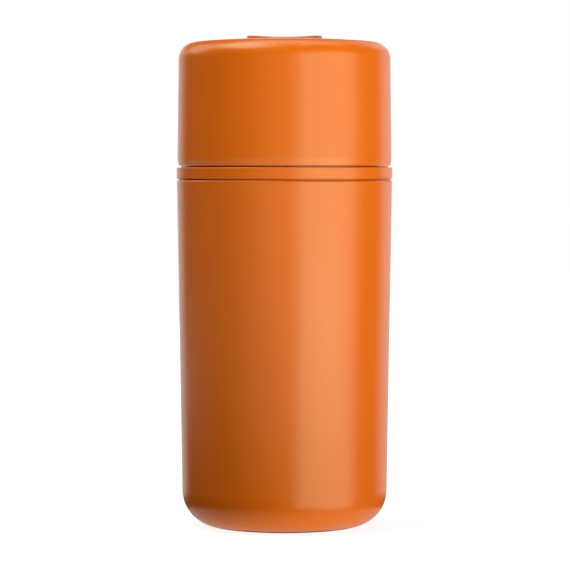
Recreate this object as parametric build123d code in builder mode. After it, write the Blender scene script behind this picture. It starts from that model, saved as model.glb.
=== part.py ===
from build123d import *
import os
from math import asin, degrees, radians, tan

# A tapered prescription vial with a child-resistant press-button cap.
#
# A threaded neck collar snaps into the mouth of the vial body, and its flange is the narrow
# ring between body and cap. An inner cap screws onto the collar and presses a liner onto the
# neck's rim. The outer cap is held on the inner cap by a snap bead and turns freely on it.
# Pressing the centre button slides its splined stem into the inner cap's socket, and only
# then does the outer cap drive the inner cap.
#
# Millimetres and degrees. +Z is up, and the origin is the centre of the foot.

# ---- Driving dimensions -------------------------------------------------------------------

# Overall
vial_diameter = 44.5  # over the collar's flange, the widest part
body_height = 71.43
cap_height = 25.03  # from the skirt's lower edge to the rim of the dome

# Vial body
body_inset = 0.05  # of the body's rim from the flange, a side
body_draft = 0.92
body_wall = 1.3
foot_radius = 7.5
foot_recess_diameter = 19.0
foot_recess_depth = 0.5
gate_radius = 1.0
gate_height = 0.3
rim_round = 0.35

# Neck collar
flange_thickness = 2.35
seam_height = 0.22  # of the groove under the flange
seam_depth = 0.45
shoulder_inset = 0.9  # of the low shoulder on the flange that the skirt stands over
shoulder_height = 0.3
plug_length = 9.0
plug_wall = 2.2
plug_clearance = 0.05
neck_wall = 1.3
web_slope = 1.5
edge_round = 0.2
mouth_round = 0.3

# Snap bead that holds the collar in the body
snap_drop = 2.6  # below the body's rim
snap_height = 1.4
snap_bite = 0.35
snap_clearance = 0.08

# Collar seal
seal_drop = 5.8  # below the body's rim
seal_groove_depth = 1.25
seal_groove_width = 2.0
seal_width = 1.7
seal_clearance = 0.02

# Thread between collar and inner cap
thread_pitch = 3.6
thread_depth = 0.95
thread_base = 1.8
thread_crest = 0.9
thread_sink = 0.4  # how far a ridge runs into its wall
thread_clearance = 0.25  # from a crest to the other wall
thread_gap = 0.15  # between the flanks that bear
neck_lead_in = 1.2  # from the neck's rim down to the collar's ridge
skirt_lead_in = 1.8  # from the inner cap's lower edge up to its ridge
cap_thread_share = 0.72  # of the collar's turns
cap_start_angle = -90.0

# Inner cap and liner
inner_wall = 1.15
inner_plate = 1.4
inner_corner = 1.2
lip_height = 1.2
lip_clearance = 0.2
spin_clearance = 0.5
liner_thickness = 1.0
liner_clearance = 0.02

# Outer cap
cap_inset = 0.15  # of the skirt's lower edge from the flange, a side
cap_gap = 0.37  # between skirt and flange
cap_draft = 0.73
cap_wall = 1.2
cap_corner = 3.4
cap_edge = 0.3
turn_in = 0.26  # of the skirt's lower edge
turn_in_height = 1.45
turn_in_round = 2.5
dome_rise = 1.1
bead_height = 0.8
bead_bite = 0.35
bead_clearance = 0.1
thrust_ring_radius = 14.0
thrust_ring_wall = 1.1
thrust_clearance = 0.1
stiffener_count = 8
stiffener_wall = 0.9
stiffener_depth = 2.6

# Centre button, its well, spring and clip
button_diameter = 15.6
button_thickness = 1.8
button_proud = 0.65  # of the button's edge above the dome's peak
button_travel = 1.0
button_scoop = 0.6  # depth of the thumb groove
button_round = 0.25
well_clearance = 0.2
well_wall = 1.2
well_floor = 1.2
spring_length = 3.5
spring_wire = 0.5
spring_turns = 3.5
spring_clearance = 0.02
stem_radius = 3.3
spline_height = 0.8
spline_width = 0.9
spline_count = 12
spline_clearance = 0.1
socket_wall = 1.9
stem_gap = 0.3  # between stem and socket before the button is pressed
socket_spare = 0.9  # depth left under the pressed stem
clip_thickness = 0.5
clip_width = 2.1
clip_groove_depth = 0.45
clip_mouth = 4.4
clip_clearance = 0.05
clip_spare = 0.1  # above the socket when the button is pressed

# ---- Levels and radii worked out from them ------------------------------------------------

flange_bottom = body_height + seam_height
flange_top = flange_bottom + flange_thickness
cap_bottom = flange_top + cap_gap
cap_rim = cap_bottom + cap_height
button_top = cap_rim + dome_rise + button_proud
button_under = button_top - button_thickness
well_floor_top = button_under - spring_length
well_floor_bottom = well_floor_top - well_floor
clip_top = well_floor_bottom - clip_clearance
clip_bottom = clip_top - clip_thickness
stem_bottom = clip_bottom - (button_travel - stem_gap + clip_spare)
socket_top = stem_bottom - stem_gap
plate_top = socket_top - (button_travel - stem_gap + socket_spare)
plate_bottom = plate_top - inner_plate
liner_bottom = plate_bottom - liner_clearance - liner_thickness
neck_top = liner_bottom - liner_clearance
plug_bottom = body_height - plug_length
seal_level = body_height - seal_drop
snap_level = body_height - snap_drop

flange_radius = vial_diameter / 2
shoulder_radius = flange_radius - shoulder_inset
body_radius = flange_radius - body_inset
cap_radius = flange_radius - cap_inset
button_radius = button_diameter / 2
well_radius = button_radius + well_clearance


def body_outside(level):
    # Radius of the body's drafted outside at a height.
    return body_radius - (body_height - level) * tan(radians(body_draft))


def body_inside(level):
    return body_outside(level) - body_wall


def plug_outside(level):
    return body_inside(level) - plug_clearance


def cap_outside(level):
    # Radius of the outer cap's drafted outside at a height.
    return cap_radius - (level - cap_bottom) * tan(radians(cap_draft))


def cap_inside(level):
    return cap_outside(level) - cap_wall


plug_inner_radius = plug_outside(plug_bottom) - plug_wall
inner_cap_radius = cap_inside(plate_top) - spin_clearance
inner_bore = inner_cap_radius - inner_wall
neck_radius = inner_bore - thread_clearance - thread_depth
neck_bore = neck_radius - neck_wall
lip_bottom = cap_bottom + cap_edge + bead_height + bead_clearance
lip_radius = cap_inside(lip_bottom) - lip_clearance
bead_radius = lip_radius - bead_bite
spline_radius = stem_radius + spline_height
socket_radius = spline_radius + spline_clearance + socket_wall
clip_groove_radius = stem_radius - clip_groove_depth
clip_radius = clip_groove_radius + clip_clearance + clip_width

# The cap's ridge hangs below the collar's, with a small gap between the flanks that bear.
flank_slope = (thread_base - thread_crest) / thread_depth
collar_ridge_width = thread_base - flank_slope * thread_clearance
thread_offset = (collar_ridge_width + thread_crest) / 2 + thread_gap
cap_thread_start = lip_bottom + skirt_lead_in + thread_base / 2
collar_thread_start = cap_thread_start + thread_offset - thread_pitch * cap_start_angle / 360
collar_thread_end = neck_top - neck_lead_in - thread_base / 2
collar_turns = (collar_thread_end - collar_thread_start) / thread_pitch
cap_turns = collar_turns * cap_thread_share


def arc_radius(half_width, rise):
    # Radius of the arc that rises by this much over half its width.
    return (half_width**2 + rise**2) / (2 * rise)


def dome_arc(rim_radius, rim_level):
    # The dome's profile, from the axis out to its rim.
    radius = arc_radius(rim_radius, dome_rise)
    reach = degrees(asin(rim_radius / radius))
    return CenterArc((0, rim_level + dome_rise - radius), radius, 90, -reach)


def thread_ridge(wall_radius, direction, turns, start):
    # One helical ridge that stands out of a wall by thread_depth: direction 1 outwards, -1 inwards.
    sunk_radius = wall_radius - direction * thread_sink
    crest_radius = wall_radius + direction * thread_depth
    half_base = (thread_base + flank_slope * thread_sink) / 2
    with BuildPart() as ridge:
        with BuildLine() as path:
            Helix(pitch=thread_pitch, height=turns * thread_pitch, radius=wall_radius, center=(0, 0, start))
        with BuildSketch(Plane.XZ):
            with BuildLine():
                Polyline(
                    (sunk_radius, start - half_base),
                    (crest_radius, start - thread_crest / 2),
                    (crest_radius, start + thread_crest / 2),
                    (sunk_radius, start + half_base),
                    close=True,
                )
            make_face()
        sweep(path=path.line, is_frenet=True)
    return ridge.part


def splined_outline(clearance):
    # Cross-section of the splined stem, grown by a clearance where it is a hole.
    with BuildSketch(mode=Mode.PRIVATE) as outline:
        Circle(stem_radius + clearance)
        with PolarLocations(0, spline_count):
            with Locations(((spline_radius + clearance) / 2, 0)):
                Rectangle(spline_radius + clearance, spline_width + 2 * clearance)
    return outline.sketch


collar_ridge = thread_ridge(neck_radius, 1, collar_turns, collar_thread_start)
cap_ridge = thread_ridge(inner_bore, -1, cap_turns, cap_thread_start)
stem_outline = splined_outline(0)
keyway_outline = splined_outline(spline_clearance)

# ---- Vial body: a tapered cup with a round foot -------------------------------------------

with BuildPart() as vial_body:
    with BuildSketch(Plane.XZ):
        with BuildLine():
            Polyline(
                (0, 0),
                (body_outside(0), 0),
                (body_radius, body_height),
                (0, body_height),
                close=True,
            )
        make_face()
    revolve(axis=Axis.Z)
    fillet(vial_body.edges().group_by(Axis.Z)[0], foot_radius)
    with BuildSketch(Plane.XZ):
        with BuildLine():
            Polyline(
                (0, body_wall),
                (body_inside(body_wall), body_wall),
                (body_inside(body_height), body_height),
                (0, body_height),
                close=True,
            )
        hollow = make_face()
        fillet(hollow.vertices().sort_by(Axis.Y)[:2].sort_by(Axis.X)[-1], foot_radius - body_wall)
    revolve(axis=Axis.Z, mode=Mode.SUBTRACT)
    # Snap groove in the mouth
    with BuildSketch(Plane.XZ):
        with Locations((body_inside(snap_level), snap_level)):
            Rectangle(2 * (snap_bite + snap_clearance), snap_height + 2 * snap_clearance)
    revolve(axis=Axis.Z, mode=Mode.SUBTRACT)
    # Shallow recess in the foot, with the stub of the moulding gate in it
    with BuildSketch(Plane.XY):
        Circle(foot_recess_diameter / 2)
    extrude(amount=foot_recess_depth, mode=Mode.SUBTRACT)
    with BuildSketch(Plane.XY.offset(foot_recess_depth - gate_height)):
        Circle(gate_radius)
    extrude(amount=gate_height)
    rim_edges = vial_body.edges().filter_by(GeomType.CIRCLE).filter_by_position(
        Axis.Z, body_height, body_height
    )
    fillet(rim_edges, rim_round)
vial_body.part.label = "vial_body"

# ---- Neck collar: plug, flange ring and threaded neck -------------------------------------

with BuildPart() as neck_collar:
    with BuildSketch(Plane.XZ):
        with BuildLine():
            Polyline(
                (plug_inner_radius, plug_bottom),
                (plug_outside(plug_bottom), plug_bottom),
                (plug_outside(body_height), body_height),
                (flange_radius - seam_depth, body_height),
                (flange_radius - seam_depth, flange_bottom),
                (flange_radius, flange_bottom),
                (flange_radius, flange_top),
                (shoulder_radius, flange_top),
                (shoulder_radius, flange_top + shoulder_height),
                (neck_radius, flange_top + shoulder_height),
                (neck_radius, neck_top),
                (neck_bore, neck_top),
                (neck_bore, flange_bottom),
                (plug_inner_radius, flange_bottom - web_slope),
                close=True,
            )
        make_face()
    revolve(axis=Axis.Z)
    # Snap bead, with sloping sides so that it pushes in
    with BuildSketch(Plane.XZ):
        with BuildLine():
            Polyline(
                (plug_outside(snap_level) - snap_bite, snap_level - snap_height / 2),
                (plug_outside(snap_level), snap_level - snap_height / 2),
                (plug_outside(snap_level) + snap_bite, snap_level),
                (plug_outside(snap_level), snap_level + snap_height / 2),
                (plug_outside(snap_level) - snap_bite, snap_level + snap_height / 2),
                close=True,
            )
        make_face()
    revolve(axis=Axis.Z)
    # Groove for the seal
    with BuildSketch(Plane.XZ):
        with Locations((plug_outside(seal_level), seal_level)):
            Rectangle(2 * seal_groove_depth, seal_groove_width)
    revolve(axis=Axis.Z, mode=Mode.SUBTRACT)
    flange_edges = neck_collar.edges().filter_by(GeomType.CIRCLE).filter_by(
        lambda edge: abs(edge.radius - flange_radius) < seam_depth / 2
    )
    fillet(flange_edges, edge_round)
    mouth_edges = neck_collar.edges().filter_by(GeomType.CIRCLE).filter_by_position(
        Axis.Z, neck_top, neck_top
    )
    fillet(mouth_edges, mouth_round)
    add(collar_ridge)
neck_collar.part.label = "neck_collar"

# ---- Collar seal: an O-ring pressed oval between plug and body ----------------------------

seal_inner = plug_outside(seal_level) - seal_groove_depth + seal_clearance
seal_outer = body_inside(seal_level - seal_width / 2) - seal_clearance
with BuildPart() as collar_seal:
    with BuildSketch(Plane.XZ):
        with Locations(((seal_inner + seal_outer) / 2, seal_level)):
            Ellipse((seal_outer - seal_inner) / 2, seal_width / 2)
    revolve(axis=Axis.Z)
collar_seal.part.label = "collar_seal"

# ---- Cap liner: the foam disc that seals the neck -----------------------------------------

with BuildPart() as cap_liner:
    with BuildSketch(Plane.XY.offset(liner_bottom)):
        Circle(inner_bore - thread_clearance)
    extrude(amount=liner_thickness)
cap_liner.part.label = "cap_liner"

# ---- Inner cap: threaded cup with the splined socket on its plate -------------------------

with BuildPart() as inner_cap:
    with BuildSketch(Plane.XZ):
        with BuildLine():
            Polyline(
                (inner_bore, lip_bottom),
                (lip_radius, lip_bottom),
                (lip_radius, lip_bottom + lip_height),
                (inner_cap_radius, lip_bottom + lip_height + lip_radius - inner_cap_radius),
                (inner_cap_radius, plate_top),
                (0, plate_top),
                (0, plate_bottom),
                (inner_bore, plate_bottom),
                close=True,
            )
        make_face()
    revolve(axis=Axis.Z)
    plate_edge = inner_cap.edges().filter_by(GeomType.CIRCLE).sort_by(Axis.Z)[-1]
    fillet(plate_edge, inner_corner)
    with BuildSketch(Plane.XY.offset(plate_top)):
        Circle(socket_radius)
        add(keyway_outline, mode=Mode.SUBTRACT)
    extrude(amount=socket_top - plate_top)
    add(cap_ridge, rotation=(0, 0, cap_start_angle))
inner_cap.part.label = "inner_cap"

# ---- Outer cap: domed shell with the button's well ----------------------------------------

well_outside = well_radius + well_wall
ceiling = cap_rim - cap_wall
ceiling_peak = ceiling + dome_rise
turn_in_level = cap_bottom + turn_in_height
stiffener_length = thrust_ring_radius - well_outside
with BuildPart() as outer_cap:
    # Drafted skirt with its lower edge turned in, round corner and shallow dome
    with BuildSketch(Plane.XZ):
        with BuildLine():
            dome = dome_arc(cap_outside(cap_rim), cap_rim)
            Polyline(
                dome @ 1,
                (cap_outside(turn_in_level), turn_in_level),
                (cap_radius - turn_in, cap_bottom),
                (0, cap_bottom),
                dome @ 0,
            )
        shell = make_face()
        turned_in = shell.vertices().filter_by_position(Axis.Y, turn_in_level, turn_in_level)
        shell = fillet(turned_in, turn_in_round)
        shell_corner = shell.vertices().filter_by_position(
            Axis.Y, cap_rim - cap_corner, cap_rim + dome_rise / 2
        )
        fillet(shell_corner, cap_corner)
    revolve(axis=Axis.Z)
    # Hollow, with a domed ceiling
    with BuildSketch(Plane.XZ):
        with BuildLine():
            dome = dome_arc(cap_inside(ceiling), ceiling)
            Polyline(dome @ 1, (cap_inside(cap_bottom), cap_bottom), (0, cap_bottom), dome @ 0)
        hollow = make_face()
        hollow_corner = hollow.vertices().filter_by_position(
            Axis.Y, ceiling - cap_corner, ceiling + dome_rise / 2
        )
        fillet(hollow_corner, cap_corner - cap_wall)
    revolve(axis=Axis.Z, mode=Mode.SUBTRACT)
    # Snap bead under the inner cap's lip: its top flat, its underside sloping
    with BuildSketch(Plane.XZ):
        with BuildLine():
            Polyline(
                (cap_inside(cap_bottom) + bead_bite, cap_bottom + cap_edge),
                (cap_inside(cap_bottom), cap_bottom + cap_edge),
                (bead_radius, cap_bottom + cap_edge + bead_height / 2),
                (bead_radius, cap_bottom + cap_edge + bead_height),
                (cap_inside(cap_bottom) + bead_bite, cap_bottom + cap_edge + bead_height),
                close=True,
            )
        make_face()
    revolve(axis=Axis.Z)
    # Stiffening ribs and the ring that bears on the inner cap, grown up into the domed ceiling
    with BuildSketch(Plane.XY.offset(ceiling - stiffener_depth)):
        with PolarLocations(well_outside + stiffener_length / 2, stiffener_count):
            Rectangle(stiffener_length + thrust_ring_wall, stiffener_wall)
    extrude(amount=stiffener_depth + dome_rise)
    with BuildSketch(Plane.XY.offset(plate_top + thrust_clearance)):
        Circle(thrust_ring_radius + thrust_ring_wall)
        Circle(thrust_ring_radius, mode=Mode.SUBTRACT)
    extrude(amount=ceiling_peak - plate_top - thrust_clearance)
    # Well with the keyway in its floor
    with BuildSketch(Plane.XY.offset(well_floor_bottom)):
        Circle(well_outside)
    extrude(amount=ceiling_peak - well_floor_bottom)
    with BuildSketch(Plane.XY.offset(well_floor_top)):
        Circle(well_radius)
    extrude(amount=button_top - well_floor_top, mode=Mode.SUBTRACT)
    with BuildSketch(Plane.XY.offset(well_floor_bottom)):
        add(keyway_outline)
    extrude(amount=well_floor, mode=Mode.SUBTRACT)
    well_edge = outer_cap.edges().filter_by(GeomType.CIRCLE).filter_by(
        lambda edge: abs(edge.radius - well_radius) < button_round
    ).sort_by(Axis.Z)[-1]
    fillet(well_edge, button_round)
outer_cap.part.label = "outer_cap"

# ---- Centre button: scooped head on a splined stem ----------------------------------------

scoop_radius = arc_radius(button_radius, button_scoop)
with BuildPart() as centre_button:
    with BuildSketch(Plane.XY.offset(button_under)):
        Circle(button_radius)
    extrude(amount=button_thickness)
    with BuildSketch(Plane.XZ):
        with Locations((0, button_top - button_scoop + scoop_radius)):
            Circle(scoop_radius)
    extrude(amount=button_diameter, both=True, mode=Mode.SUBTRACT)
    rim_edges = centre_button.faces().sort_by(Axis.Z)[-1].edges()
    fillet(rim_edges, button_round)
    with BuildSketch(Plane.XY.offset(stem_bottom)):
        add(stem_outline)
    extrude(amount=button_under - stem_bottom)
    # Groove for the clip
    with BuildSketch(Plane.XY.offset(clip_bottom - clip_clearance)):
        Circle(button_radius)
        Circle(clip_groove_radius, mode=Mode.SUBTRACT)
    extrude(amount=clip_thickness + 2 * clip_clearance, mode=Mode.SUBTRACT)
centre_button.part.label = "centre_button"

# ---- Button spring: an open coil between the well's floor and the button ------------------

coil_radius = (spline_radius + well_radius) / 2
coil_bottom = well_floor_top + spring_clearance + spring_wire / 2
coil_height = spring_length - 2 * spring_clearance - spring_wire
with BuildPart() as button_spring:
    with BuildLine() as coil:
        Helix(
            pitch=coil_height / spring_turns,
            height=coil_height,
            radius=coil_radius,
            center=(0, 0, coil_bottom),
        )
    with BuildSketch(Plane(coil.line @ 0, z_dir=coil.line % 0)):
        Circle(spring_wire / 2)
    sweep(path=coil.line, is_frenet=True)
button_spring.part.label = "button_spring"

# ---- Button clip: an open ring with three prongs in the stem's groove ---------------------

clip_band = clip_width / 2
with BuildPart() as button_clip:
    with BuildSketch(Plane.XY.offset(clip_bottom)):
        Circle(clip_radius)
        Circle(clip_radius - clip_band, mode=Mode.SUBTRACT)
        with PolarLocations(clip_radius - clip_width / 2, 3):
            Rectangle(clip_width, clip_mouth / 2)
        Circle(clip_groove_radius + clip_clearance, mode=Mode.SUBTRACT)
        with Locations((-clip_radius, 0)):
            Rectangle(2 * clip_radius, clip_mouth, mode=Mode.SUBTRACT)
    extrude(amount=clip_thickness)
button_clip.part.label = "button_clip"

# ---- Write one STEP a sub-part ------------------------------------------------------------

os.makedirs("parts", exist_ok=True)
for piece in (
    vial_body,
    neck_collar,
    collar_seal,
    cap_liner,
    inner_cap,
    outer_cap,
    centre_button,
    button_spring,
    button_clip,
):
    export_step(piece.part, f"parts/{piece.part.label}.step")
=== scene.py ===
import math

import bmesh
import bpy
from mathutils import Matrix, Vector


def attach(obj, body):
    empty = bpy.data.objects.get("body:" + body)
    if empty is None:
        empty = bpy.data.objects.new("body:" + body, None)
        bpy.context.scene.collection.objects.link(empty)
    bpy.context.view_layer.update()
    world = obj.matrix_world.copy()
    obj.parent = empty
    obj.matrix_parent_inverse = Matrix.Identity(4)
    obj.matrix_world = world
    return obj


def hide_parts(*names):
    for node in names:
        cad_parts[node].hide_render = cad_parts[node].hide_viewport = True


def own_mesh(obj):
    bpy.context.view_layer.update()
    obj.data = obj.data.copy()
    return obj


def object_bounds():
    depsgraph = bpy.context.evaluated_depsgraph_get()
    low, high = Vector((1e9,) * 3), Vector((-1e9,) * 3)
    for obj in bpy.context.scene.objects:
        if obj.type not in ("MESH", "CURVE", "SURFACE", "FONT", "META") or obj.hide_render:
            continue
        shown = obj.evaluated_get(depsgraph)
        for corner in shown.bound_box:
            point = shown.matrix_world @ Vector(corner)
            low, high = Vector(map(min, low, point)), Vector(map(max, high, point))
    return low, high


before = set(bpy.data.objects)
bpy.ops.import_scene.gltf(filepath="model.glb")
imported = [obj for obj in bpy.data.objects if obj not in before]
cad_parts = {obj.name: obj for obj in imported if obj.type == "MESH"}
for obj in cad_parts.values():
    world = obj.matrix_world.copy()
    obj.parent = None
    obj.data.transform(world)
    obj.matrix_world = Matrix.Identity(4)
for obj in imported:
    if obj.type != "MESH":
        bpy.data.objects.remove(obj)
cadBox = [list(corner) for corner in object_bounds()]
low, high = Vector(cadBox[0]), Vector(cadBox[1])
middle = (low + high) / 2
height = high.z - low.z
millimetre = 0.001
print("frame loaded: vial is", round(height / millimetre, 1), "mm tall")

camera = {
    "distance": 0.606,
    "eyeLevel": 0.0726,  # above the floor
    "aside": 0.0001,
    "pitch": 2.16,  # degrees down
    "lens": 185.4,
    "sensor": 36,
    "reach": 50,
}
eye = bpy.data.cameras.new("vialCamera")
eye.lens = camera["lens"]
eye.sensor_width = camera["sensor"]
eye.clip_end = camera["reach"]
eyeObject = bpy.data.objects.new("vialCamera", eye)
eyeObject.location = (camera["aside"], -camera["distance"], camera["eyeLevel"])
eyeObject.rotation_euler = (math.radians(90 - camera["pitch"]), 0, 0)
bpy.context.scene.collection.objects.link(eyeObject)
bpy.context.scene.camera = eyeObject
bpy.context.scene.view_settings.view_transform = "Standard"
print("camera placed")


def newNode(tree, kind, place, **settings):
    # one shader node, with its properties set by name
    node = tree.nodes.new(kind)
    node.location = (place[0] * 220, place[1] * -180)
    for name, value in settings.items():
        setattr(node, name, value)
    return node


def newGroup(name, inputs, outputs):
    # an empty node group with named sockets; inputs give (name, kind, value)
    group = bpy.data.node_groups.new(name, "ShaderNodeTree")
    for label, kind, value in inputs:
        socket = group.interface.new_socket(label, in_out="INPUT", socket_type=kind)
        socket.default_value = value
    for label, kind in outputs:
        group.interface.new_socket(label, in_out="OUTPUT", socket_type=kind)
    return group


def mouldedSkinGroup():
    # What an injection mould leaves: flow marks drawn out along the axis,
    # cloudy colour and a fine satin grain.
    # Colour mixes the two colours by cloud, roughness follows the flow,
    # and height is grain mixed with the slow wave of the flow marks.
    group = newGroup(
        "mouldedSkin",
        [
            ("Colour", "NodeSocketColor", (0.8, 0.8, 0.8, 1)),
            ("Cloud Colour", "NodeSocketColor", (0.7, 0.7, 0.7, 1)),
            ("Cloud Size", "NodeSocketFloat", 60.0),
            ("Flow Size", "NodeSocketFloat", 220.0),
            ("Grain Size", "NodeSocketFloat", 6000.0),
            ("Roughness", "NodeSocketFloat", 0.35),
            ("Roughness Swing", "NodeSocketFloat", 0.05),
            ("Wave Share", "NodeSocketFloat", 0.6),
        ],
        [
            ("Colour", "NodeSocketColor"),
            ("Roughness", "NodeSocketFloat"),
            ("Height", "NodeSocketFloat"),
        ],
    )
    link = group.links.new
    entry = newNode(group, "NodeGroupInput", (-5, 0))
    leave = newNode(group, "NodeGroupOutput", (3, 0))
    place = newNode(group, "ShaderNodeTexCoord", (-5, 2))
    drawn = newNode(group, "ShaderNodeMapping", (-4, 2))
    drawn.inputs["Scale"].default_value = (1.0, 1.0, 0.12)  # flow marks are eight times as long as wide
    cloud = newNode(group, "ShaderNodeTexNoise", (-3, -1))
    cloud.inputs["Detail"].default_value = 3
    flow = newNode(group, "ShaderNodeTexNoise", (-3, 1))
    flow.inputs["Detail"].default_value = 4
    grain = newNode(group, "ShaderNodeTexNoise", (-3, 3))
    grain.inputs["Detail"].default_value = 2
    link(place.outputs["Object"], drawn.inputs["Vector"])
    link(place.outputs["Object"], cloud.inputs["Vector"])
    link(drawn.outputs["Vector"], flow.inputs["Vector"])
    link(place.outputs["Object"], grain.inputs["Vector"])
    link(entry.outputs["Cloud Size"], cloud.inputs["Scale"])
    link(entry.outputs["Flow Size"], flow.inputs["Scale"])
    link(entry.outputs["Grain Size"], grain.inputs["Scale"])
    blend = newNode(group, "ShaderNodeMix", (0, -1), data_type="RGBA")
    link(cloud.outputs["Fac"], blend.inputs["Factor"])
    link(entry.outputs["Colour"], blend.inputs["A"])
    link(entry.outputs["Cloud Colour"], blend.inputs["B"])
    link(blend.outputs["Result"], leave.inputs["Colour"])
    swing = newNode(group, "ShaderNodeMath", (-1, 0.5), operation="SUBTRACT")
    swing.inputs[1].default_value = 0.5
    link(flow.outputs["Fac"], swing.inputs[0])
    rough = newNode(group, "ShaderNodeMath", (0, 0.5), operation="MULTIPLY_ADD")
    link(swing.outputs["Value"], rough.inputs[0])
    link(entry.outputs["Roughness Swing"], rough.inputs[1])
    link(entry.outputs["Roughness"], rough.inputs[2])
    link(rough.outputs["Value"], leave.inputs["Roughness"])
    relief = newNode(group, "ShaderNodeMix", (0, 2), data_type="FLOAT")
    link(entry.outputs["Wave Share"], relief.inputs["Factor"])
    link(grain.outputs["Fac"], relief.inputs["A"])
    link(flow.outputs["Fac"], relief.inputs["B"])
    link(relief.outputs["Result"], leave.inputs["Height"])
    return group


def rubbedEdgeGroup():
    # Handling wear on an edge that runs round the piece at one height.
    # The rub is one minus distance from Level over Reach, smoothed, times patchy noise, times Amount.
    group = newGroup(
        "rubbedEdge",
        [
            ("Colour", "NodeSocketColor", (0.8, 0.8, 0.8, 1)),
            ("Rubbed Colour", "NodeSocketColor", (0.9, 0.9, 0.9, 1)),
            ("Roughness", "NodeSocketFloat", 0.35),
            ("Rubbed Roughness", "NodeSocketFloat", 0.45),
            ("Level", "NodeSocketFloat", 0.0),
            ("Reach", "NodeSocketFloat", 0.001),
            ("Patch Size", "NodeSocketFloat", 700.0),
            ("Amount", "NodeSocketFloat", 0.4),
        ],
        [("Colour", "NodeSocketColor"), ("Roughness", "NodeSocketFloat")],
    )
    link = group.links.new
    entry = newNode(group, "NodeGroupInput", (-6, 0))
    leave = newNode(group, "NodeGroupOutput", (3, 0))
    place = newNode(group, "ShaderNodeTexCoord", (-6, 3))
    axes = newNode(group, "ShaderNodeSeparateXYZ", (-5, 2))
    link(place.outputs["Object"], axes.inputs["Vector"])
    gap = newNode(group, "ShaderNodeMath", (-4, 2), operation="SUBTRACT")
    link(axes.outputs["Z"], gap.inputs[0])
    link(entry.outputs["Level"], gap.inputs[1])
    far = newNode(group, "ShaderNodeMath", (-3, 2), operation="ABSOLUTE")
    link(gap.outputs["Value"], far.inputs[0])
    near = newNode(group, "ShaderNodeMapRange", (-2, 2), interpolation_type="SMOOTHSTEP")
    near.inputs["To Min"].default_value = 1.0
    near.inputs["To Max"].default_value = 0.0
    link(far.outputs["Value"], near.inputs["Value"])
    link(entry.outputs["Reach"], near.inputs["From Max"])
    patch = newNode(group, "ShaderNodeTexNoise", (-4, 4))
    patch.inputs["Detail"].default_value = 5
    link(place.outputs["Object"], patch.inputs["Vector"])
    link(entry.outputs["Patch Size"], patch.inputs["Scale"])
    patchy = newNode(group, "ShaderNodeMapRange", (-2, 4), interpolation_type="SMOOTHSTEP")
    patchy.inputs["From Min"].default_value = 0.42
    patchy.inputs["From Max"].default_value = 0.66
    link(patch.outputs["Fac"], patchy.inputs["Value"])
    rub = newNode(group, "ShaderNodeMath", (-1, 3), operation="MULTIPLY")
    link(near.outputs["Result"], rub.inputs[0])
    link(patchy.outputs["Result"], rub.inputs[1])
    share = newNode(group, "ShaderNodeMath", (0, 3), operation="MULTIPLY")
    link(rub.outputs["Value"], share.inputs[0])
    link(entry.outputs["Amount"], share.inputs[1])
    tint = newNode(group, "ShaderNodeMix", (1, 0), data_type="RGBA")
    link(share.outputs["Value"], tint.inputs["Factor"])
    link(entry.outputs["Colour"], tint.inputs["A"])
    link(entry.outputs["Rubbed Colour"], tint.inputs["B"])
    link(tint.outputs["Result"], leave.inputs["Colour"])
    dull = newNode(group, "ShaderNodeMix", (1, 2), data_type="FLOAT")
    link(share.outputs["Value"], dull.inputs["Factor"])
    link(entry.outputs["Roughness"], dull.inputs["A"])
    link(entry.outputs["Rubbed Roughness"], dull.inputs["B"])
    link(dull.outputs["Result"], leave.inputs["Roughness"])
    return group


def paintedSeamShadeGroup():
    # Painted shade in a seam: a dark colour mixed over the surface colour,
    # full between the Low and High heights, and faded out over Fade beyond them.
    group = newGroup(
        "paintedSeamShade",
        [
            ("Colour", "NodeSocketColor", (0.8, 0.8, 0.8, 1)),
            ("Painted Shade Colour", "NodeSocketColor", (0.1, 0.05, 0.02, 1)),
            ("Low", "NodeSocketFloat", 0.0),
            ("High", "NodeSocketFloat", 0.001),
            ("Fade", "NodeSocketFloat", 0.00003),
            ("Amount", "NodeSocketFloat", 0.6),
        ],
        [("Colour", "NodeSocketColor")],
    )
    link = group.links.new
    entry = newNode(group, "NodeGroupInput", (-6, 0))
    leave = newNode(group, "NodeGroupOutput", (4, 0))
    place = newNode(group, "ShaderNodeTexCoord", (-6, 3))
    axes = newNode(group, "ShaderNodeSeparateXYZ", (-5, 2))
    link(place.outputs["Object"], axes.inputs["Vector"])
    sides = []
    for row, (first, second) in enumerate((("Z", "Low"), ("High", "Z"))):
        depth = newNode(group, "ShaderNodeMath", (-4, 1 + row), operation="SUBTRACT")
        for slot, label in enumerate((first, second)):
            source = axes.outputs["Z"] if label == "Z" else entry.outputs[label]
            link(source, depth.inputs[slot])
        steep = newNode(group, "ShaderNodeMath", (-3, 1 + row), operation="DIVIDE")
        link(depth.outputs["Value"], steep.inputs[0])
        link(entry.outputs["Fade"], steep.inputs[1])
        side = newNode(group, "ShaderNodeMath", (-2, 1 + row), operation="ADD", use_clamp=True)
        side.inputs[1].default_value = 1.0
        link(steep.outputs["Value"], side.inputs[0])
        sides.append(side)
    band = newNode(group, "ShaderNodeMath", (-1, 1), operation="MULTIPLY")
    link(sides[0].outputs["Value"], band.inputs[0])
    link(sides[1].outputs["Value"], band.inputs[1])
    share = newNode(group, "ShaderNodeMath", (0, 1), operation="MULTIPLY")
    link(band.outputs["Value"], share.inputs[0])
    link(entry.outputs["Amount"], share.inputs[1])
    tint = newNode(group, "ShaderNodeMix", (2, 0), data_type="RGBA")
    link(share.outputs["Value"], tint.inputs["Factor"])
    link(entry.outputs["Colour"], tint.inputs["A"])
    link(entry.outputs["Painted Shade Colour"], tint.inputs["B"])
    link(tint.outputs["Result"], leave.inputs["Colour"])
    return group


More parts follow.
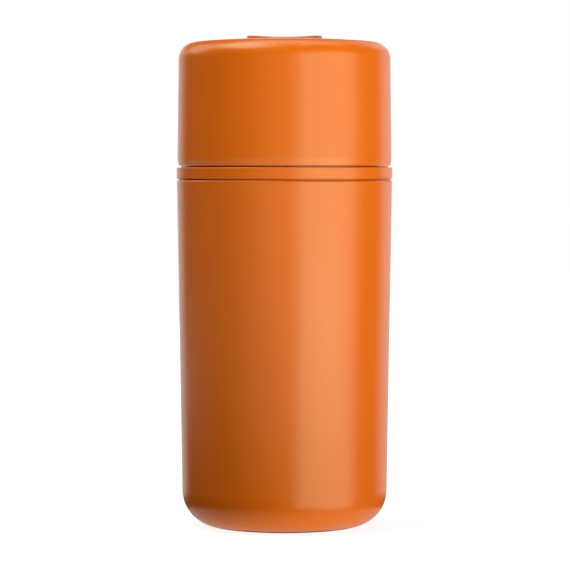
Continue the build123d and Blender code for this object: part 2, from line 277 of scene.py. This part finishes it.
def newMaterial(name, constants):
    # a material whose Principled shader has its constant sockets set directly
    material = bpy.data.materials.new(name)
    material.use_nodes = True
    tree = material.node_tree
    shader = tree.nodes["Principled BSDF"]
    for socket, value in constants.items():
        shader.inputs[socket].default_value = value
    return material, tree, shader


def placeGroup(tree, group, place, values):
    # one use of a node group, with its own values
    node = newNode(tree, "ShaderNodeGroup", place, node_tree=group)
    for name, value in values.items():
        node.inputs[name].default_value = value
    return node


def bumpFrom(tree, shader, height, values):
    # feeds the shader's normal from a height socket
    bump = newNode(tree, "ShaderNodeBump", (-1, 3))
    bump.inputs["Strength"].default_value = values["bump"]
    bump.inputs["Distance"].default_value = values["bumpDepth"]
    tree.links.new(height, bump.inputs["Height"])
    tree.links.new(bump.outputs["Normal"], shader.inputs["Normal"])


mouldedSkin = mouldedSkinGroup()
rubbedEdge = rubbedEdgeGroup()
paintedSeamShade = paintedSeamShadeGroup()


def mouldedPlastic(name, values):
    # moulded skin, then each rubbed edge, then the painted seam shade over it
    material, tree, shader = newMaterial(name, values["constants"])
    skin = placeGroup(tree, mouldedSkin, (-6, 0), values["skin"])
    colour, roughness = skin.outputs["Colour"], skin.outputs["Roughness"]
    for count, (level, reach) in enumerate(values["rubbedAt"]):
        edge = {"Level": level * millimetre, "Reach": reach * millimetre}
        rub = placeGroup(tree, rubbedEdge, (-5 + count, 1), {**values["rub"], **edge})
        tree.links.new(colour, rub.inputs["Colour"])
        tree.links.new(roughness, rub.inputs["Roughness"])
        colour, roughness = rub.outputs["Colour"], rub.outputs["Roughness"]
    # each seam band gets painted shade: a dark brown laid over the colour where the gap's own shade falls
    for count, (lowest, highest) in enumerate(values.get("paintedShadeAt", [])):
        seam = {"Low": lowest * millimetre, "High": highest * millimetre}
        seamShade = placeGroup(tree, paintedSeamShade, (-2 + count, 1), {**values["seamShade"], **seam})
        tree.links.new(colour, seamShade.inputs["Colour"])
        colour = seamShade.outputs["Colour"]
    tree.links.new(colour, shader.inputs["Base Color"])
    tree.links.new(roughness, shader.inputs["Roughness"])
    bumpFrom(tree, shader, skin.outputs["Height"], values)
    return material


def dress(nodeName, material):
    # gives a CAD node its finished material
    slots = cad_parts[nodeName].data.materials
    slots.clear()
    slots.append(material)
    print("finished", nodeName, "with", material.name)


orangeGloss = {
    "IOR": 1.5,
    "Specular IOR Level": 0.75,
    "Specular Tint": (0.8, 0.86, 0.54, 1),  # warm, as the pigment's own gloss is
    "Sheen Weight": 0.15,  # the soft bright edge of a satin surface seen aslant
    "Sheen Roughness": 0.3,
    "Sheen Tint": (1.0, 0.52, 0.26, 1),
}
orangeSkin = {
    "Colour": (0.88, 0.166, 0.003, 1),
    "Cloud Colour": (0.85, 0.156, 0.0025, 1),
    "Cloud Size": 55.0,
    "Flow Size": 260.0,
    "Grain Size": 5200.0,
    "Roughness": 0.3,
    "Roughness Swing": 0.06,
    "Wave Share": 0.5,
}
orangeRub = {
    "Rubbed Colour": (0.93, 0.30, 0.06, 1),
    "Rubbed Roughness": 0.42,
    "Patch Size": 900.0,
    "Amount": 0.3,
}
# painted shade for the seams: the dark brown that stands in for the shade inside each gap
orangeSeamShade = {
    "Painted Shade Colour": (0.16, 0.045, 0.008, 1),
    "Fade": 0.03 * millimetre,
    "Amount": 0.75,
}
bodyFinish = {
    "constants": orangeGloss,
    "skin": orangeSkin,
    "rub": orangeRub,
    "seamShade": orangeSeamShade,
    "bump": 0.25,
    "bumpDepth": 0.02 * millimetre,
    "rubbedAt": [(0.2, 0.9), (71.4, 0.25)],  # height and reach, in millimetres
}
collarFinish = {
    **bodyFinish,
    "rubbedAt": [(71.7, 0.2), (73.95, 0.2), (88.9, 0.4)],
    "paintedShadeAt": [(71.44, 71.63), (74.03, 74.31)],  # painted shade in the lower seam, and up the shoulder under the cap
}
capFinish = {
    **bodyFinish,
    "skin": {**orangeSkin, "Colour": (0.88, 0.171, 0.0033, 1)},
    "rubbedAt": [(74.4, 0.3), (98.6, 1.2)],
}
buttonFinish = {**capFinish, "rubbedAt": [(100.95, 0.25)]}
for nodeName, finish in (
    ("vial_body", bodyFinish),
    ("neck_collar", collarFinish),
    ("outer_cap", capFinish),
    ("centre_button", buttonFinish),
):
    dress(nodeName, mouldedPlastic(nodeName + "Orange", finish))

# the inner cap is moulded in its natural milky plastic, without pigment
innerCapFinish = {
    "constants": {"IOR": 1.49, "Subsurface Weight": 0.25, "Subsurface Scale": 0.8 * millimetre},
    "skin": {
        "Colour": (0.80, 0.79, 0.74, 1),
        "Cloud Colour": (0.74, 0.735, 0.68, 1),
        "Cloud Size": 90.0,
        "Flow Size": 300.0,
        "Grain Size": 4500.0,
        "Roughness": 0.36,
        "Roughness Swing": 0.08,
        "Wave Share": 0.4,
    },
    "rub": {
        "Rubbed Colour": (0.88, 0.87, 0.83, 1),
        "Rubbed Roughness": 0.5,
        "Patch Size": 800.0,
        "Amount": 0.4,
    },
    "bump": 0.3,
    "bumpDepth": 0.02 * millimetre,
    "rubbedAt": [(75.6, 0.4), (92.9, 0.3)],
}
dress("inner_cap", mouldedPlastic("naturalPlastic", innerCapFinish))

linerFinish = {
    "foam": (0.86, 0.855, 0.82, 1),
    "cellWall": (0.74, 0.735, 0.70, 1),
    "roughness": 0.85,
    "gloss": 0.25,
    "cells": 2600.0,  # closed cells of about 0.4 mm
    "bump": 0.5,
    "bumpDepth": 0.05 * millimetre,
}


def foamSheet(name, values):
    # closed-cell foam: each cell is a Voronoi bubble, darker and lower along its walls
    constants = {"Roughness": values["roughness"], "Specular IOR Level": values["gloss"]}
    material, tree, shader = newMaterial(name, constants)
    place = newNode(tree, "ShaderNodeTexCoord", (-6, 1))
    cells = newNode(tree, "ShaderNodeTexVoronoi", (-5, 1), feature="SMOOTH_F1")
    cells.inputs["Scale"].default_value = values["cells"]
    bubble = newNode(tree, "ShaderNodeMapRange", (-4, 1))
    bubble.inputs["From Min"].default_value = 0.2
    bubble.inputs["From Max"].default_value = 0.75
    shade = newNode(tree, "ShaderNodeMix", (-3, 0), data_type="RGBA")
    shade.inputs["A"].default_value = values["foam"]
    shade.inputs["B"].default_value = values["cellWall"]
    crown = newNode(tree, "ShaderNodeMath", (-3, 2), operation="SUBTRACT")
    crown.inputs[0].default_value = 1.0
    tree.links.new(place.outputs["Object"], cells.inputs["Vector"])
    tree.links.new(cells.outputs["Distance"], bubble.inputs["Value"])
    tree.links.new(bubble.outputs["Result"], shade.inputs["Factor"])
    tree.links.new(bubble.outputs["Result"], crown.inputs[1])
    tree.links.new(shade.outputs["Result"], shader.inputs["Base Color"])
    bumpFrom(tree, shader, crown.outputs["Value"], values)
    return material


dress("cap_liner", foamSheet("linerFoam", linerFinish))

sealFinish = {
    "constants": {"IOR": 1.52, "Specular IOR Level": 0.4},
    "skin": {
        "Colour": (0.016, 0.016, 0.017, 1),
        "Cloud Colour": (0.035, 0.035, 0.036, 1),  # a bloom of release powder
        "Cloud Size": 300.0,
        "Flow Size": 900.0,
        "Grain Size": 7000.0,
        "Roughness": 0.55,
        "Roughness Swing": 0.2,
        "Wave Share": 0.3,
    },
    "rub": {},
    "bump": 0.35,
    "bumpDepth": 0.02 * millimetre,
    "rubbedAt": [],
}
dress("collar_seal", mouldedPlastic("sealRubber", sealFinish))

steelFinish = {
    "bright": (0.66, 0.65, 0.62, 1),
    "dark": (0.50, 0.49, 0.47, 1),
    "roughness": (0.2, 0.38),
    "drawnLines": 2500.0,
    "bump": 0.2,
    "bumpDepth": 0.01 * millimetre,
}


def drawnSteel(name, values):
    # bright steel with fine lines left by the drawing die
    material, tree, shader = newMaterial(name, {"Metallic": 1.0})
    place = newNode(tree, "ShaderNodeTexCoord", (-7, 1))
    along = newNode(tree, "ShaderNodeMapping", (-6, 1))
    along.inputs["Scale"].default_value = (0.15, 0.15, 1.0)
    lines = newNode(tree, "ShaderNodeTexNoise", (-5, 1))
    lines.inputs["Scale"].default_value = values["drawnLines"]
    lines.inputs["Detail"].default_value = 4
    metal = newNode(tree, "ShaderNodeMix", (-3, 0), data_type="RGBA")
    metal.inputs["A"].default_value = values["dark"]
    metal.inputs["B"].default_value = values["bright"]
    rough = newNode(tree, "ShaderNodeMapRange", (-3, 1))
    rough.inputs["From Min"].default_value = 0.3
    rough.inputs["From Max"].default_value = 0.7
    rough.inputs["To Min"].default_value, rough.inputs["To Max"].default_value = values["roughness"]
    tree.links.new(place.outputs["Object"], along.inputs["Vector"])
    tree.links.new(along.outputs["Vector"], lines.inputs["Vector"])
    tree.links.new(lines.outputs["Fac"], metal.inputs["Factor"])
    tree.links.new(lines.outputs["Fac"], rough.inputs["Value"])
    tree.links.new(metal.outputs["Result"], shader.inputs["Base Color"])
    tree.links.new(rough.outputs["Result"], shader.inputs["Roughness"])
    bumpFrom(tree, shader, lines.outputs["Fac"], values)
    return material


dress("button_clip", drawnSteel("clipSteel", steelFinish))

# The coil shortens as the button goes down; a copy with its triangles joined rides with the shell in place
# of the CAD spring, which is hidden.
springCoil = {"length": 3.5 * millimetre, "press": 1.0 * millimetre, "weld": 0.001 * millimetre}
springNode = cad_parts["button_spring"]
coilMesh = springNode.data.copy()
joined = bmesh.new()
joined.from_mesh(coilMesh)
bmesh.ops.remove_doubles(joined, verts=joined.verts, dist=springCoil["weld"])
bmesh.ops.recalc_face_normals(joined, faces=joined.faces)
joined.to_mesh(coilMesh)
joined.free()
coilMesh.materials.clear()
coilMesh.materials.append(drawnSteel("springSteel", steelFinish))
coil = bpy.data.objects.new("shorteningCoil", coilMesh)
bpy.context.scene.collection.objects.link(coil)
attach(coil, "shell")
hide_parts("button_spring")
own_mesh(coil)
print("finished", coil.name, "in place of", springNode.name)

floor = {
    "size": 12.0,
    "paper": (0.3, 0.3, 0.3, 1),
    "whiteNear": 0.86,  # what the paper shows of itself beside the vial, under its shading
    "whiteFar": 1.0,
    "nearEnds": 0.05,
    "farStarts": 0.16,
}
bpy.ops.mesh.primitive_plane_add(size=floor["size"], location=(0, 0, low.z))
floorObject = bpy.context.object
floorObject.name = "studioFloor"
floorMaterial = bpy.data.materials.new("palePaper")
floorMaterial.use_nodes = True
floorTree = floorMaterial.node_tree
floorTree.nodes.remove(floorTree.nodes["Principled BSDF"])
sheet = newNode(floorTree, "ShaderNodeBsdfDiffuse", (0, 3))
sheet.inputs["Color"].default_value = floor["paper"]
floorPlace = newNode(floorTree, "ShaderNodeTexCoord", (-4, 1))
away = newNode(floorTree, "ShaderNodeVectorMath", (-3, 1), operation="LENGTH")
fade = newNode(floorTree, "ShaderNodeMapRange", (-2, 1), interpolation_type="SMOOTHSTEP")
fade.inputs["From Min"].default_value = floor["nearEnds"]
fade.inputs["From Max"].default_value = floor["farStarts"]
fade.inputs["To Min"].default_value = floor["whiteNear"]
fade.inputs["To Max"].default_value = floor["whiteFar"]
white = newNode(floorTree, "ShaderNodeEmission", (-1, 1))
shown = newNode(floorTree, "ShaderNodeAddShader", (1, 2))
floorTree.links.new(floorPlace.outputs["Object"], away.inputs[0])
floorTree.links.new(away.outputs["Value"], fade.inputs["Value"])
floorTree.links.new(fade.outputs["Result"], white.inputs["Strength"])
floorTree.links.new(sheet.outputs["BSDF"], shown.inputs[0])
floorTree.links.new(white.outputs["Emission"], shown.inputs[1])
floorTree.links.new(shown.outputs["Shader"], floorTree.nodes["Material Output"].inputs["Surface"])
floorObject.data.materials.append(floorMaterial)
for sight in ("visible_diffuse", "visible_glossy", "visible_transmission", "visible_shadow"):
    setattr(floorObject, sight, False)  # the bounce cards light the vial from below in its place
print("floor laid")


def areaLight(name, values):
    # a soft light that the camera doesn't see
    light = bpy.data.lights.new(name, "AREA")
    light.shape = values.get("shape", "RECTANGLE")
    light.size, light.size_y = values["size"]
    light.energy = values["power"]
    lamp = bpy.data.objects.new(name, light)
    lamp.visible_camera = False
    bpy.context.scene.collection.objects.link(lamp)
    return lamp


def softbox(name, values):
    # stands round the vial and faces it; azimuth runs from the camera's side towards +X, in degrees
    around, up = math.radians(values["azimuth"]), math.radians(values["elevation"])
    heading = Vector((math.sin(around) * math.cos(up), -math.cos(around) * math.cos(up), math.sin(up)))
    lamp = areaLight(name, values)
    lamp.location = middle + heading * values["distance"]
    lamp.rotation_euler = (-heading).to_track_quat("-Z", "Y").to_euler()


def bounceCard(name, values):
    # lies on the floor and faces up
    lamp = areaLight(name, values)
    lamp.location = (*values["place"], low.z + 0.5 * millimetre)
    lamp.rotation_euler = (math.pi, 0, 0)


# powers in watts, sizes and places in metres
softboxes = {
    "keySoftbox": {"azimuth": 48, "elevation": -5, "distance": 0.8, "size": (1.05, 1.0), "power": 7.5},
    "leftHighPanel": {"azimuth": -75, "elevation": 63, "distance": 0.8, "size": (0.6, 0.42), "power": 3.6},
    "overheadPanel": {"azimuth": 160, "elevation": 80, "distance": 0.8, "size": (0.6, 0.6), "power": 1.8},
    "leftBackPanel": {"azimuth": -120, "elevation": 33, "distance": 0.8, "size": (0.42, 0.42), "power": 1.0},
    "rightBackPanel": {"azimuth": 150, "elevation": 33, "distance": 0.8, "size": (0.42, 0.42), "power": 0.5},
    "backPanel": {"azimuth": 180, "elevation": 3, "distance": 0.8, "size": (0.5, 0.42), "power": 1.2},
    "leftRimStrip": {"azimuth": -150, "elevation": 3, "distance": 0.8, "size": (0.3, 0.42), "power": 0.38},
    "rightRimStrip": {"azimuth": 142, "elevation": 3, "distance": 0.8, "size": (0.5, 0.42), "power": 0.61},
}
bounceCards = {
    "farCard": {"place": (0.0, -0.8), "size": (1.0, 0.5), "power": 4.7},
    "frontCard": {"place": (0.0, -0.38), "size": (0.6, 0.36), "power": 0.3},
    "rightCard": {"place": (0.3, -0.3), "size": (0.3, 0.3), "power": 1.0},
    "leftCard": {"place": (-0.38, 0.0), "size": (0.36, 0.6), "power": 0.4},
    "lipCard": {"place": (-0.07, -0.19), "size": (0.34, 0.1), "power": 0.1},
    "footCard": {"place": (0.0, 0.0), "size": (0.05, 0.05), "power": 0.003, "shape": "DISK"},
}
for lightName, lightValues in softboxes.items():
    softbox(lightName, lightValues)
for lightName, lightValues in bounceCards.items():
    bounceCard(lightName, lightValues)

world = bpy.data.worlds.new("studio")
bpy.context.scene.world = world
world.use_nodes = True
sky = world.node_tree
room = {"seen": 1.0, "fill": 0.02}
background = sky.nodes["Background"]
background.inputs["Strength"].default_value = room["fill"]
background.inputs["Color"].default_value = (1, 1, 1, 1)
backdrop = newNode(sky, "ShaderNodeBackground", (0, 2))
backdrop.inputs["Strength"].default_value = room["seen"]
backdrop.inputs["Color"].default_value = (1, 1, 1, 1)
rays = newNode(sky, "ShaderNodeLightPath", (0, -2))
choose = newNode(sky, "ShaderNodeMixShader", (2, 0))
sky.links.new(rays.outputs["Is Camera Ray"], choose.inputs["Fac"])
sky.links.new(background.outputs["Background"], choose.inputs[1])
sky.links.new(backdrop.outputs["Background"], choose.inputs[2])
sky.links.new(choose.outputs["Shader"], sky.nodes["World Output"].inputs["Surface"])
print("lights and backdrop set")
